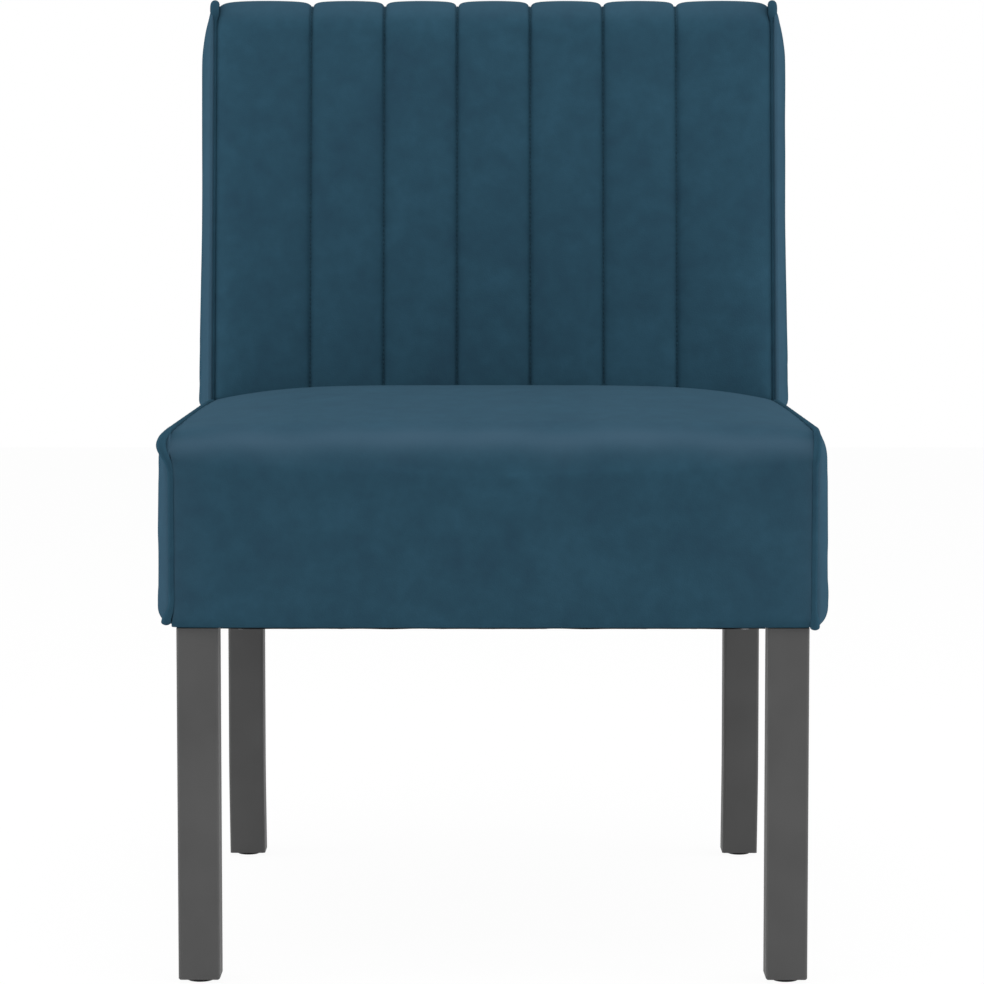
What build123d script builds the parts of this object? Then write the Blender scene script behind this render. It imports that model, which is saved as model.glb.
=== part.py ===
"""Armless upholstered chair: padded box seat, leaning channelled back, four square legs.

Millimetres, +Z up, origin on the floor under the middle of the chair, front towards -Y.
Left and right are as seen from the front.
"""

import os
from math import cos, radians, sin, sqrt, tan

from build123d import *

os.makedirs("parts", exist_ok=True)

# Overall size
overall_depth = 620.0
overall_height = 806.0
front_y = -overall_depth / 2
sides = (("left", -1), ("right", 1))

# Cloth, padding and fits
cloth = 1.6
ease = 0.3
lining = cloth + ease
fit = 0.1
piping_radius = 2.5
piping_sunk = 0.8
half_seam = piping_radius + fit

# Seat block
seat_bottom_z = 285.0
seat_depth = 600.0
seat_rear_y = front_y + seat_depth
seat_seam_x = 253.5
seat_swell = 11.5
seat_draw = 12.0
deck_z = 437.0
seam_rise = 5.0
seam_top_z = deck_z + seam_rise
face_swell = 2.5
crown_power = 5
lip_rise = 2.5
middle_rise = 16.0
edge_bow = 1.0
heel_rise = 13.5
crown_y = -60.0
heel_y = 122.0
heel_foot_y = 138.0
heel_bulge = 5.0
heel_share = 0.68
heel_bend = 33.0
lip_radius = 22.0
lip_radius_gain = 5.0
hem_radius = 6.0
hem = 34.0

# Leaning back
lean_front = radians(8.5)
lean_rear = radians(3.1)
back_foot_y = 140.0
back_seam_x = 256.0
back_swell = 11.0
back_draw = 20.0
back_top_draw = 4.0
back_low_draw = 0.3
channel_count = 7
channel_pitch = 66.8
channel_rise = 5.0
seam_drop = 1.0
seam_level = channel_rise - seam_drop
top_front_radius = 28.0
top_rear_radius = 14.0
ear_radius = 11.0
foam_bite = 7.0
foam_lap = 2.0
rear_lap = 46.0
channel_end_z = overall_height - rear_lap

# Seat frame
frame_half = 250.0
rail_bottom_z = seat_bottom_z + cloth
rail_height = 80.0
rail_top_z = rail_bottom_z + rail_height
end_rail_thick = 28.0
side_rail_thick = 22.0
front_padding = 7.0
rear_padding = 3.0
front_rail_y = front_y + front_padding
rear_rail_y = seat_rear_y - rear_padding
side_rail_inner = frame_half - side_rail_thick
rail_ease = 3.0
block_leg = 60.0
block_height = 50.0

# Legs and glides
leg_side = 33.0
leg_outer_x = 250.6
leg_setback = 8.0
leg_spread = 554.5
leg_x = leg_outer_x - leg_side / 2
front_leg_y = front_y + leg_setback + leg_side / 2
rear_leg_y = front_leg_y + leg_spread
leg_edge = 2.5
leg_foot_chamfer = 1.0
notch_gap = 3.0
glide_height = 3.0
glide_radius = 11.5
glide_edge = 2.6
glide_pin_radius = 1.5
glide_pin = 14.0
kick_start_z = 104.0
kick_radius = 280.0
kick_turn = radians(9.2)
kick_foot_y = (
    rear_leg_y
    + kick_radius * (1 - cos(kick_turn))
    + (kick_start_z - kick_radius * sin(kick_turn) - glide_height) * tan(kick_turn)
)
leg_spots = [(s * leg_x, y) for y in (front_leg_y, rear_leg_y) for name, s in sides]

# Fasteners
bolt_radius = 4.0
bolt_short = 2.0
hanger_in_leg = 40.0
insert_radius = 6.0
insert_length = 20.0
bolt_head = 5.3
bolt_head_across = 13.0
washer_thick = 1.5
washer_radius = 9.0
flange_thick = 1.5
flange_radius = 10.0
barrel_radius = 5.0
barrel_length = 12.0
bolt_spots = ((212.0, 322.0), (238.0, 345.0))

# Webbing, felt and back frame
strap_thick = 2.0
strap_width = 50.0
strap_ramp = 4.0
strap_flat = strap_width / 2 + strap_ramp
long_straps = 5
long_pitch = 80.0
cross_straps = 4
cross_pitch = 110.0
cross_first_y = -215.0
felt_thick = 2.5
felt_z = rail_top_z + 2 * strap_thick
foam_z = felt_z + felt_thick
post_thick = 25.0
post_inner_x = side_rail_inner - post_thick
post_inset = 52.0
post_rear_inset = 9.0
post_bottom_z = 300.0
post_top_z = 762.0
tongue_gap = 2.0
tongue_rear_y = rear_rail_y - end_rail_thick - tongue_gap
slot_ease = 0.5
back_rail_thick = 25.0
bottom_rail_gap = 4.0
bottom_rail_height = 50.0
lumbar_low_z = 560.0
lumbar_height = 40.0
lumbar_thick = 22.0
top_rail_height = 45.0
back_strap_width = 60.0
back_straps = 3
back_strap_pitch = 90.0
back_strap_first_z = 520.0
board_thick = 3.0
board_gap = 2.0
rear_pad_gap = 3.0
rear_crown = 4.0


def save(block, name):
    """Label the finished piece and write it under its node name."""
    block.part.label = name
    export_step(block.part, f"parts/{name}.step")


def front_line(z, inset=0.0):
    """Y of the back's leaning front face at height z, moved inset into the back."""
    return back_foot_y + (z - deck_z) * tan(lean_front) + inset / cos(lean_front)


def rear_line(z, inset=0.0):
    """Y of the back's rear face at height z, moved inset into the back."""
    return seat_rear_y + (z - deck_z) * tan(lean_rear) - inset / cos(lean_rear)


def seat_outline(station, inset):
    """Side outline of the seat block, station away from the middle and inset inside the cloth."""
    fullness = max(0.0, 1 - abs(station / seat_seam_x) ** crown_power)
    face = front_y + face_swell + inset
    low = seat_bottom_z + inset
    lip = seam_top_z + lip_rise * fullness - inset
    middle = seam_top_z + edge_bow + middle_rise * fullness - inset
    heel = seam_top_z + heel_rise * fullness - inset
    deck = deck_z - inset
    edge = max(2.0, lip_radius + lip_radius_gain * fullness - inset)
    foot = max(1.0, hem_radius - inset)
    edge_mid = edge * (1 - sqrt(0.5))
    foot_mid = foot * (1 - sqrt(0.5))
    face_mid = face - face_swell * max(0.1, fullness)
    heel_mid = (heel_foot_y - heel_bulge - inset, deck + heel_share * (heel - deck))
    Line((face + foot, low), (seat_rear_y - inset, low))
    Line((seat_rear_y - inset, low), (seat_rear_y - inset, deck))
    Line((seat_rear_y - inset, deck), (heel_foot_y - inset, deck))
    ThreePointArc((heel_foot_y - inset, deck), heel_mid, (heel_y - inset, heel))
    ThreePointArc((heel_y - inset, heel), (crown_y, middle), (face + edge, lip))
    ThreePointArc((face + edge, lip), (face + edge_mid, lip - edge_mid), (face, lip - edge))
    ThreePointArc((face, lip - edge), (face_mid, (lip - edge + low + foot) / 2), (face, low + foot))
    ThreePointArc((face, low + foot), (face + foot_mid, low + foot_mid), (face + foot, low))


def seat_body(half_width, inset, mode=Mode.ADD):
    """Crowned seat block between two side planes, lofted through nine side outlines."""
    slices = []
    for share in (-1.0, -0.87, -0.7, -0.45, 0.0, 0.45, 0.7, 0.87, 1.0):
        with BuildSketch(Plane.YZ.offset(share * half_width)) as side_slice:
            with BuildLine():
                seat_outline(share * half_width, inset)
            make_face()
        slices.append(side_slice.sketch)
    loft(slices, mode=mode)


def back_outline(inset, drawn):
    """Side outline of the back, inset inside its outer faces and drawn in further, most at the top."""
    reach = inset + drawn
    low = deck_z + ease + inset - seam_level + back_low_draw * drawn
    top = overall_height - inset - back_top_draw * drawn
    upper = max(2.0, ear_radius + seam_level - reach)
    lower = max(1.5, hem_radius + seam_level - reach)
    FilletPolyline(
        (front_line(low, reach), low),
        (front_line(top, reach), top),
        (rear_line(top, reach), top),
        (rear_line(low, reach), low),
        radius=[lower, upper, upper, lower],
        close=True,
    )


def seat_side_outline(inset, drawn):
    """Side outline of the seat block at its side seam, drawn in evenly."""
    seat_outline(seat_seam_x, inset + drawn)


def dome(outline, sign, start_x, swell, draw, inset, mode=Mode.ADD):
    """Side swelling of a quarter ellipse: it grows outward while its outline is drawn in."""
    slices = []
    for turn in (0.0, radians(35), radians(65), radians(90)):
        with BuildSketch(Plane.YZ.offset(sign * (start_x + swell * sin(turn)))) as side_slice:
            with BuildLine():
                outline(inset, draw * (1 - cos(turn)))
            make_face()
        slices.append(side_slice.sketch)
    loft(slices, mode=mode)


def channel_path(start_z, end_z):
    """Line of the channel seams: up the front, over the top and down to the rear seam."""
    top = overall_height - channel_rise
    return FilletPolyline(
        (front_line(start_z, channel_rise), start_z),
        (front_line(top, channel_rise), top),
        (rear_line(top, channel_rise), top),
        (rear_line(end_z, channel_rise), end_z),
        radius=[top_front_radius, top_rear_radius],
    )


def channel_arcs(inset):
    """Row of seven arcs across the back, one per channel, meeting at the seams."""
    edge = back_seam_x - half_seam
    inner = [channel_pitch * (i - (channel_count - 2) / 2) for i in range(channel_count - 1)]
    seams = [-edge, *inner, edge]
    for here, there in zip(seams, seams[1:]):
        ThreePointArc((here, inset), ((here + there) / 2, inset - channel_rise), (there, inset))
    return edge


def across_back(start_z):
    """Plane square to the foot of the channel path: X across, Y into the back."""
    foot = (0, front_line(start_z, channel_rise), start_z)
    return Plane(origin=foot, x_dir=(1, 0, 0), z_dir=(0, sin(lean_front), cos(lean_front)))


def drill_down(spots, z, radius, depth):
    """Round holes rising from height z."""
    with BuildSketch(Plane.XY.offset(z)) as rounds:
        with Locations(*spots):
            Circle(radius)
    extrude(rounds.sketch, amount=depth, mode=Mode.SUBTRACT)


def bars(sign, from_x, to_x, radius, mode=Mode.ADD):
    """Round bars across the chair at the two back bolts of one side."""
    with BuildSketch(Plane.YZ.offset(sign * from_x)) as rounds:
        with Locations(*bolt_spots):
            Circle(radius)
    extrude(rounds.sketch, amount=sign * (to_x - from_x), mode=mode)


def tongue_slots(z, height):
    """Openings where the two back posts pass down into the seat."""
    front, rear = front_line(deck_z, post_inset) - slot_ease, tongue_rear_y + slot_ease
    with BuildSketch(Plane.XY.offset(z)) as slots:
        for name, sign in sides:
            with Locations((sign * (post_inner_x + post_thick / 2), (front + rear) / 2)):
                Rectangle(post_thick + 2 * ease, rear - front)
    extrude(slots.sketch, amount=height, mode=Mode.SUBTRACT)


# Legs, straight in front and kicked rearward behind, each on a nailed glide
for side, sign in sides:
    with BuildPart() as front_leg:
        with BuildSketch(Plane.XY.offset(glide_height)):
            with Locations((sign * leg_x, front_leg_y)):
                RectangleRounded(leg_side, leg_side, leg_edge)
        extrude(amount=seat_bottom_z - glide_height)
        chamfer(front_leg.faces().sort_by(Axis.Z)[0].edges(), leg_foot_chamfer)
        spot = [(sign * leg_x, front_leg_y)]
        drill_down(spot, seat_bottom_z - hanger_in_leg, bolt_radius + fit, hanger_in_leg)
        drill_down(spot, glide_height, glide_pin_radius + fit, glide_pin + fit)
    save(front_leg, f"front_leg_{side}")


def kick_point(offset, turn):
    """Point on the rear leg's bend, offset rearward from its middle line."""
    reach = kick_radius - offset
    return (rear_leg_y + kick_radius - reach * cos(turn), kick_start_z - reach * sin(turn))


def kick_foot(offset):
    """Where one edge of the rear leg meets the glide's height."""
    y, z = kick_point(offset, kick_turn)
    return (y + (z - glide_height) * tan(kick_turn), glide_height)


for side, sign in sides:
    with BuildPart() as rear_leg:
        with BuildSketch(Plane.YZ.offset(sign * leg_x - leg_side / 2)):
            with BuildLine():
                for edge in (-leg_side / 2, leg_side / 2):
                    bend = [kick_point(edge, kick_turn * share) for share in (0, 0.5, 1)]
                    Line((rear_leg_y + edge, seat_bottom_z), bend[0])
                    ThreePointArc(*bend)
                    Line(bend[2], kick_foot(edge))
                Line(kick_foot(-leg_side / 2), kick_foot(leg_side / 2))
                Line(
                    (rear_leg_y - leg_side / 2, seat_bottom_z),
                    (rear_leg_y + leg_side / 2, seat_bottom_z),
                )
            make_face()
        extrude(amount=leg_side)
        flanks = rear_leg.faces().filter_by(Axis.X).edges()
        fillet(flanks.filter_by_position(Axis.Z, glide_height + 1, seat_bottom_z - 1), leg_edge)
        top_spot = [(sign * leg_x, rear_leg_y)]
        drill_down(top_spot, seat_bottom_z - hanger_in_leg, bolt_radius + fit, hanger_in_leg)
        foot_spot = [(sign * leg_x, kick_foot_y)]
        drill_down(foot_spot, glide_height, glide_pin_radius + fit, glide_pin + fit)
    save(rear_leg, f"rear_leg_{side}")

for end, y in (("front", front_leg_y), ("rear", kick_foot_y)):
    for side, sign in sides:
        with BuildPart() as foot_glide:
            with BuildSketch(Plane.XY):
                with Locations((sign * leg_x, y)):
                    Circle(glide_radius)
            extrude(amount=glide_height)
            fillet(foot_glide.faces().sort_by(Axis.Z)[0].edges(), glide_edge)
            with BuildSketch(Plane.XY.offset(glide_height)):
                with Locations((sign * leg_x, y)):
                    Circle(glide_pin_radius)
            extrude(amount=glide_pin)
        save(foot_glide, f"foot_glide_{end}_{side}")

# Hanger bolts in the leg tops and the threaded inserts that take them
with BuildPart() as leg_hanger_bolts:
    with BuildSketch(Plane.XY.offset(seat_bottom_z - hanger_in_leg)):
        with Locations(*leg_spots):
            Circle(bolt_radius)
    extrude(amount=hanger_in_leg + cloth + insert_length - bolt_short)
save(leg_hanger_bolts, "leg_hanger_bolts")

with BuildPart() as leg_insert_nuts:
    with BuildSketch(Plane.XY.offset(rail_bottom_z)):
        with Locations(*leg_spots):
            Circle(insert_radius)
            Circle(bolt_radius + fit, mode=Mode.SUBTRACT)
    extrude(amount=insert_length)
save(leg_insert_nuts, "leg_insert_nuts")

# Seat frame: front and rear rails full width, side rails between them, two corner blocks
for end, outer_y, inner_y, leg_y in (
    ("front", front_rail_y, front_rail_y + end_rail_thick, front_leg_y),
    ("rear", rear_rail_y, rear_rail_y - end_rail_thick, rear_leg_y),
):
    with BuildPart() as end_rail:
        with BuildSketch(Plane.XY.offset(rail_bottom_z)):
            with Locations((0, (outer_y + inner_y) / 2)):
                Rectangle(2 * frame_half, end_rail_thick)
        extrude(amount=rail_height)
        fillet(end_rail.edges().filter_by(Axis.X), rail_ease)
        spots = [(s * leg_x, leg_y) for name, s in sides]
        drill_down(spots, rail_bottom_z, insert_radius + fit, insert_length + fit)
    save(end_rail, f"seat_{end}_rail")

side_rail_length = (rear_rail_y - front_rail_y) - 2 * end_rail_thick
side_rail_y = (rear_rail_y + front_rail_y) / 2
for side, sign in sides:
    with BuildPart() as side_rail:
        with BuildSketch(Plane.XY.offset(rail_bottom_z)):
            with Locations((sign * (frame_half - side_rail_thick / 2), side_rail_y)):
                Rectangle(side_rail_thick, side_rail_length)
        extrude(amount=rail_height)
        top_edges = side_rail.faces().sort_by(Axis.Z)[-1].edges()
        fillet(top_edges.filter_by(Axis.Y), rail_ease)
        bars(sign, side_rail_inner, frame_half, bolt_radius + 3 * fit, Mode.SUBTRACT)
        bars(sign, frame_half - barrel_length, frame_half, barrel_radius + fit, Mode.SUBTRACT)
        bars(sign, frame_half - flange_thick, frame_half, flange_radius + fit, Mode.SUBTRACT)
    save(side_rail, f"seat_side_rail_{side}")

    with BuildPart() as corner_block:
        with BuildSketch(Plane.XY.offset(rail_bottom_z + (rail_height - block_height) / 2)):
            corner_y = front_rail_y + end_rail_thick
            with BuildLine():
                Polyline(
                    (sign * side_rail_inner, corner_y),
                    (sign * (side_rail_inner - block_leg), corner_y),
                    (sign * side_rail_inner, corner_y + block_leg),
                    close=True,
                )
            make_face()
        extrude(amount=block_height)
    save(corner_block, f"seat_corner_block_{side}")

# Elastic webbing, woven over and under, and the felt that lies on it
long_xs = [long_pitch * (i - (long_straps - 1) / 2) for i in range(long_straps)]
cross_ys = [cross_first_y + cross_pitch * j for j in range(cross_straps)]


def strap_profile(ends, rails, crossings, first_over):
    """Edge view of one strap, lifted by its own thickness at every second crossing."""
    run = [(ends[0], 0.0), (rails[0], 0.0)]
    for k, place in enumerate(crossings):
        lift = strap_thick if (k + first_over) % 2 == 0 else 0.0
        run += [(place - strap_flat, lift), (place + strap_flat, lift)]
    run += [(rails[1], 0.0), (ends[1], 0.0)]
    lower = [(along, rail_top_z + lift) for along, lift in run]
    upper = [(along, z + strap_thick) for along, z in lower]
    Polyline(*lower, *reversed(upper), close=True)


for i, x in enumerate(long_xs):
    with BuildPart() as long_strap:
        with BuildSketch(Plane.YZ.offset(x - strap_width / 2)):
            with BuildLine():
                ends = (front_rail_y + rail_ease, rear_rail_y - rail_ease)
                rails = (front_rail_y + end_rail_thick, rear_rail_y - end_rail_thick)
                strap_profile(ends, rails, cross_ys, i)
            make_face()
        extrude(amount=strap_width)
    save(long_strap, f"seat_strap_long_{i + 1}")

for j, y in enumerate(cross_ys):
    with BuildPart() as cross_strap:
        with BuildSketch(Plane.XZ.offset(-y - strap_width / 2)):
            with BuildLine():
                ends = (rail_ease - frame_half, frame_half - rail_ease)
                rails = (-side_rail_inner, side_rail_inner)
                strap_profile(ends, rails, long_xs, j + 1)
            make_face()
        extrude(amount=strap_width)
    save(cross_strap, f"seat_strap_cross_{j + 1}")

with BuildPart() as felt_pad:
    with BuildSketch(Plane.XY.offset(felt_z)):
        with Locations((0, side_rail_y)):
            Rectangle(2 * frame_half, rear_rail_y - front_rail_y)
    extrude(amount=felt_thick)
    tongue_slots(felt_z, felt_thick)
save(felt_pad, "seat_felt_pad")

# Seat padding: one crowned foam block, a thin front pad and a swelling pad at each side
seat_half = seat_seam_x - half_seam
with BuildPart() as seat_foam:
    seat_body(seat_half, lining)
    split(bisect_by=Plane.XY.offset(foam_z), keep=Keep.TOP)
    tongue_slots(foam_z, deck_z - foam_z)
save(seat_foam, "seat_foam")

with BuildPart() as seat_front_pad:
    seat_body(seat_half, lining)
    split(bisect_by=Plane.XY.offset(foam_z - ease), keep=Keep.BOTTOM)
    split(bisect_by=Plane.XZ.offset(ease - front_rail_y), keep=Keep.TOP)
save(seat_front_pad, "seat_front_pad")

pad_inset = 2 * (piping_radius + ease)
for side, sign in sides:
    with BuildPart() as seat_side_pad:
        start = seat_half + ease
        swell = seat_seam_x + half_seam + seat_swell - lining - start
        dome(seat_side_outline, sign, start, swell, seat_draw, pad_inset)
    save(seat_side_pad, f"seat_side_pad_{side}")

# Seat cloth: wrap over front, top and rear with turned hems, side panels, piping between
with BuildPart() as seat_wrap_cover:
    seat_body(seat_half, 0.0)
    seat_body(seat_half, cloth, Mode.SUBTRACT)
    with BuildSketch(Plane.XY.offset(seat_bottom_z)):
        with Locations((0, (front_y + seat_rear_y) / 2)):
            Rectangle(2 * seat_seam_x, seat_depth - 2 * hem)
    extrude(amount=cloth, mode=Mode.SUBTRACT)
    drill_down(leg_spots, seat_bottom_z, bolt_radius + 5 * fit, cloth)
    tongue_slots(deck_z - 2 * cloth, 3 * cloth)
save(seat_wrap_cover, "seat_wrap_cover")

side_start = seat_seam_x + half_seam
for side, sign in sides:
    with BuildPart() as seat_side_cover:
        dome(seat_side_outline, sign, side_start, seat_swell, seat_draw, 0.0)
        inner_swell = seat_swell - cloth
        dome(seat_side_outline, sign, side_start, inner_swell, seat_draw, cloth, Mode.SUBTRACT)
        with BuildSketch(Plane.XY.offset(seat_bottom_z)):
            middle = (side_start + cloth + seat_seam_x - hem) / 2
            with Locations((sign * middle, (front_y + seat_rear_y) / 2)):
                width = 2 * (side_start + cloth - middle)
                Rectangle(width, seat_depth - 2 * hem - 2 * ease)
        extrude(amount=cloth)
    save(seat_side_cover, f"seat_side_cover_{side}")

    with BuildPart() as seat_piping:
        with BuildLine(Plane.YZ.offset(sign * seat_seam_x)) as seam:
            face = front_y + face_swell + piping_sunk
            under = deck_z - piping_radius - ease
            low = seat_bottom_z + hem_radius
            FilletPolyline(
                (face, low),
                (face, seam_top_z - piping_sunk),
                (heel_y, seam_top_z - piping_sunk),
                (heel_foot_y, under),
                (seat_rear_y - piping_sunk, under),
                (seat_rear_y - piping_sunk, low),
                radius=[lip_radius, heel_bend, heel_bend, hem_radius],
            )
        with BuildSketch(Plane(origin=seam.line @ 0, z_dir=seam.line % 0)):
            Circle(piping_radius)
        sweep()
    save(seat_piping, f"seat_piping_{side}")

with BuildPart() as dust_cover:
    dust_front, dust_rear = front_y + hem / 2, seat_rear_y - hem / 2
    with BuildSketch(Plane.XY.offset(seat_bottom_z)):
        with Locations((0, (dust_front + dust_rear) / 2)):
            Rectangle(2 * (seat_seam_x - hem / 2), dust_rear - dust_front)
        with Locations(*leg_spots):
            Rectangle(leg_side + notch_gap, leg_side + notch_gap, mode=Mode.SUBTRACT)
        for end_y, leg_y in ((dust_front, front_leg_y), (dust_rear, rear_leg_y)):
            with Locations(*[(s * frame_half, (end_y + leg_y) / 2) for name, s in sides]):
                Rectangle(2 * leg_side, abs(end_y - leg_y) + notch_gap, mode=Mode.SUBTRACT)
            with Locations(*[(s * frame_half, leg_y) for name, s in sides]):
                Rectangle(leg_side, leg_side + notch_gap, mode=Mode.SUBTRACT)
    extrude(amount=-cloth / 2)
save(dust_cover, "dust_cover")

# Back frame: two wedge posts tongued into the seat, three rails, front straps, tack board
for side, sign in sides:
    with BuildPart() as back_post:
        with BuildSketch(Plane.YZ.offset(sign * (post_inner_x + post_thick / 2) - post_thick / 2)):
            with BuildLine():
                Polyline(
                    (front_line(deck_z, post_inset), post_bottom_z),
                    (tongue_rear_y, post_bottom_z),
                    (tongue_rear_y, deck_z),
                    (rear_line(deck_z, post_rear_inset), deck_z),
                    (rear_line(post_top_z, post_rear_inset), post_top_z),
                    (front_line(post_top_z, post_inset), post_top_z),
                    (front_line(deck_z, post_inset), deck_z),
                    close=True,
                )
            make_face()
        extrude(amount=post_thick)
        bars(sign, post_inner_x, side_rail_inner, bolt_radius + 3 * fit, Mode.SUBTRACT)
    save(back_post, f"back_post_{side}")

for name, low, height, thick in (
    ("bottom", deck_z + bottom_rail_gap, bottom_rail_height, back_rail_thick),
    ("lumbar", lumbar_low_z, lumbar_height, lumbar_thick),
    ("top", post_top_z - top_rail_height, top_rail_height, back_rail_thick),
):
    high = low + height
    with BuildPart() as back_rail:
        with BuildSketch(Plane.YZ.offset(-post_inner_x)):
            with BuildLine():
                Polyline(
                    (rear_line(low, post_rear_inset + thick), low),
                    (rear_line(low, post_rear_inset), low),
                    (rear_line(high, post_rear_inset), high),
                    (rear_line(high, post_rear_inset + thick), high),
                    close=True,
                )
            make_face()
        extrude(amount=2 * post_inner_x)
    save(back_rail, f"back_{name}_rail")

for i in range(back_straps):
    with BuildPart() as back_strap:
        with BuildSketch(Plane.YZ.offset(-side_rail_inner)):
            low = back_strap_first_z + back_strap_pitch * i - back_strap_width / 2
            high = low + back_strap_width
            with BuildLine():
                Polyline(
                    (front_line(low, post_inset - strap_thick), low),
                    (front_line(low, post_inset), low),
                    (front_line(high, post_inset), high),
                    (front_line(high, post_inset - strap_thick), high),
                    close=True,
                )
            make_face()
        extrude(amount=2 * side_rail_inner)
    save(back_strap, f"back_strap_{i + 1}")

with BuildPart() as back_tack_board:
    with BuildSketch(Plane.YZ.offset(-side_rail_inner)):
        low, high = deck_z + board_gap, channel_end_z - board_gap
        with BuildLine():
            Polyline(
                (rear_line(low, post_rear_inset), low),
                (rear_line(low, post_rear_inset - board_thick), low),
                (rear_line(high, post_rear_inset - board_thick), high),
                (rear_line(high, post_rear_inset), high),
                close=True,
            )
        make_face()
    extrude(amount=2 * side_rail_inner)
save(back_tack_board, "back_tack_board")

# Back bolts, washers and T-nuts that hold each post's tongue to its side rail
head_x = post_inner_x - washer_thick
with BuildPart() as back_bolts:
    for name, sign in sides:
        bars(sign, head_x, frame_half - bolt_short, bolt_radius)
        with BuildSketch(Plane.YZ.offset(sign * head_x)):
            with Locations(*bolt_spots):
                RegularPolygon(bolt_head_across / 2, 6, major_radius=False)
        extrude(amount=-sign * bolt_head)
save(back_bolts, "back_bolts")

with BuildPart() as back_washers:
    for name, sign in sides:
        bars(sign, head_x, post_inner_x, washer_radius)
        bars(sign, head_x, post_inner_x, bolt_radius + fit, Mode.SUBTRACT)
save(back_washers, "back_washers")

with BuildPart() as back_t_nuts:
    for name, sign in sides:
        bars(sign, frame_half - barrel_length, frame_half, barrel_radius)
        bars(sign, frame_half - flange_thick, frame_half, flange_radius)
        bars(sign, frame_half - barrel_length, frame_half, bolt_radius + fit, Mode.SUBTRACT)
save(back_t_nuts, "back_t_nuts")

# Back padding: channelled foam over front and top, side pads, thin rear pad
core = channel_rise + foam_bite
strap_front = post_inset - strap_thick - ease
core_half = back_seam_x - half_seam
with BuildPart() as back_foam:
    with BuildSketch(Plane.YZ.offset(-core_half)):
        low, top = deck_z + foam_lap, overall_height - core
        with BuildLine():
            FilletPolyline(
                (front_line(low, core), low),
                (front_line(top, core), top),
                (rear_line(top, core), top),
                (rear_line(post_top_z, core), post_top_z),
                (front_line(post_top_z, strap_front), post_top_z),
                (front_line(low, strap_front), low),
                radius=[0, top_front_radius - foam_bite, top_rear_radius - foam_bite, 0, 0, 0],
                close=True,
            )
        make_face()
    extrude(amount=2 * core_half)
    with BuildLine(Plane.YZ):
        channel_path(low, post_top_z + ease)
    with BuildSketch(across_back(low)):
        with BuildLine():
            edge = channel_arcs(lining)
            root = core - foam_lap
            Polyline((-edge, lining), (-edge, root), (edge, root), (edge, lining))
        make_face()
    sweep()
save(back_foam, "back_foam")

for side, sign in sides:
    with BuildPart() as back_side_pad:
        block_end = core_half + 2 * ease
        with BuildSketch(Plane.YZ.offset(sign * (side_rail_inner + ease))):
            low, high = deck_z + bottom_rail_gap, channel_end_z - board_gap
            behind = post_rear_inset - board_thick + ease
            with BuildLine():
                Polyline(
                    (front_line(low, strap_front + ease), low),
                    (rear_line(low, behind), low),
                    (rear_line(high, behind), high),
                    (front_line(high, strap_front + ease), high),
                    close=True,
                )
            make_face()
        extrude(amount=sign * (block_end - side_rail_inner - ease))
        swell = back_seam_x + half_seam + back_swell - lining - core_half - ease
        dome(back_outline, sign, core_half + ease, swell, back_draw, seam_level + pad_inset)
    save(back_side_pad, f"back_side_pad_{side}")


def rear_panel(half, thick, inset, low, high):
    """Rear sheet of the back, bowed rearward across the middle by rear_crown."""
    tilt = (0, sin(lean_rear), cos(lean_rear))
    foot = Plane(origin=(0, rear_line(low, inset), low), x_dir=(1, 0, 0), z_dir=tilt)
    with BuildSketch(foot) as across:
        edge = rear_crown * (half / core_half) ** 2
        with BuildLine():
            ThreePointArc((-half, -edge), (0, 0), (half, -edge))
            Polyline((half, -edge), (half, -thick), (-half, -thick), (-half, -edge))
        make_face()
    extrude(across.sketch, amount=(high - low) / cos(lean_rear))


with BuildPart() as back_rear_pad:
    pad_thick = post_rear_inset - board_thick - lining
    half = side_rail_inner - rear_pad_gap
    rear_panel(half, pad_thick, lining, deck_z + board_gap, channel_end_z - board_gap)
save(back_rear_pad, "back_rear_pad")

# Back cloth: channelled front panel over the top, rear panel, side panels and piping
with BuildPart() as back_channel_cover:
    with BuildLine(Plane.YZ):
        channel_path(deck_z + 2 * ease, channel_end_z)
    with BuildSketch(across_back(deck_z + 2 * ease)):
        with BuildLine():
            edge = channel_arcs(0.0)
            Line((-edge, 0), (-edge, cloth))
            channel_arcs(cloth)
            Line((edge, 0), (edge, cloth))
        make_face()
    sweep()
save(back_channel_cover, "back_channel_cover")

with BuildPart() as back_rear_cover:
    tilt = (0, sin(lean_rear), cos(lean_rear))
    low, high = deck_z + ease, channel_end_z - ease
    with BuildSketch(Plane(origin=(0, rear_line(low), low), x_dir=(1, 0, 0), z_dir=tilt)):
        with BuildLine():
            for depth in (0.0, cloth):
                corner = (core_half, -rear_crown - depth)
                ThreePointArc((-corner[0], corner[1]), (0, -depth), corner)
            for end in (-core_half, core_half):
                Line((end, -rear_crown), (end, -rear_crown - cloth))
        make_face()
    extrude(amount=(high - low) / cos(lean_rear))
save(back_rear_cover, "back_rear_cover")

back_start = back_seam_x + half_seam
for side, sign in sides:
    with BuildPart() as back_side_cover:
        dome(back_outline, sign, back_start, back_swell, back_draw, seam_level)
        inner_swell = back_swell - cloth
        inner = seam_level + cloth
        dome(back_outline, sign, back_start, inner_swell, back_draw, inner, Mode.SUBTRACT)
    save(back_side_cover, f"back_side_cover_{side}")

    with BuildPart() as back_piping:
        low, top = deck_z + hem_radius, overall_height - seam_level
        with BuildLine(Plane.YZ.offset(sign * back_seam_x)) as seam:
            FilletPolyline(
                (front_line(low, seam_level), low),
                (front_line(top, seam_level), top),
                (rear_line(top, seam_level), top),
                (rear_line(low, seam_level), low),
                radius=[ear_radius, ear_radius],
            )
        with BuildSketch(Plane(origin=seam.line @ 0, z_dir=seam.line % 0)):
            Circle(piping_radius)
        sweep()
    save(back_piping, f"back_piping_{side}")
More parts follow.
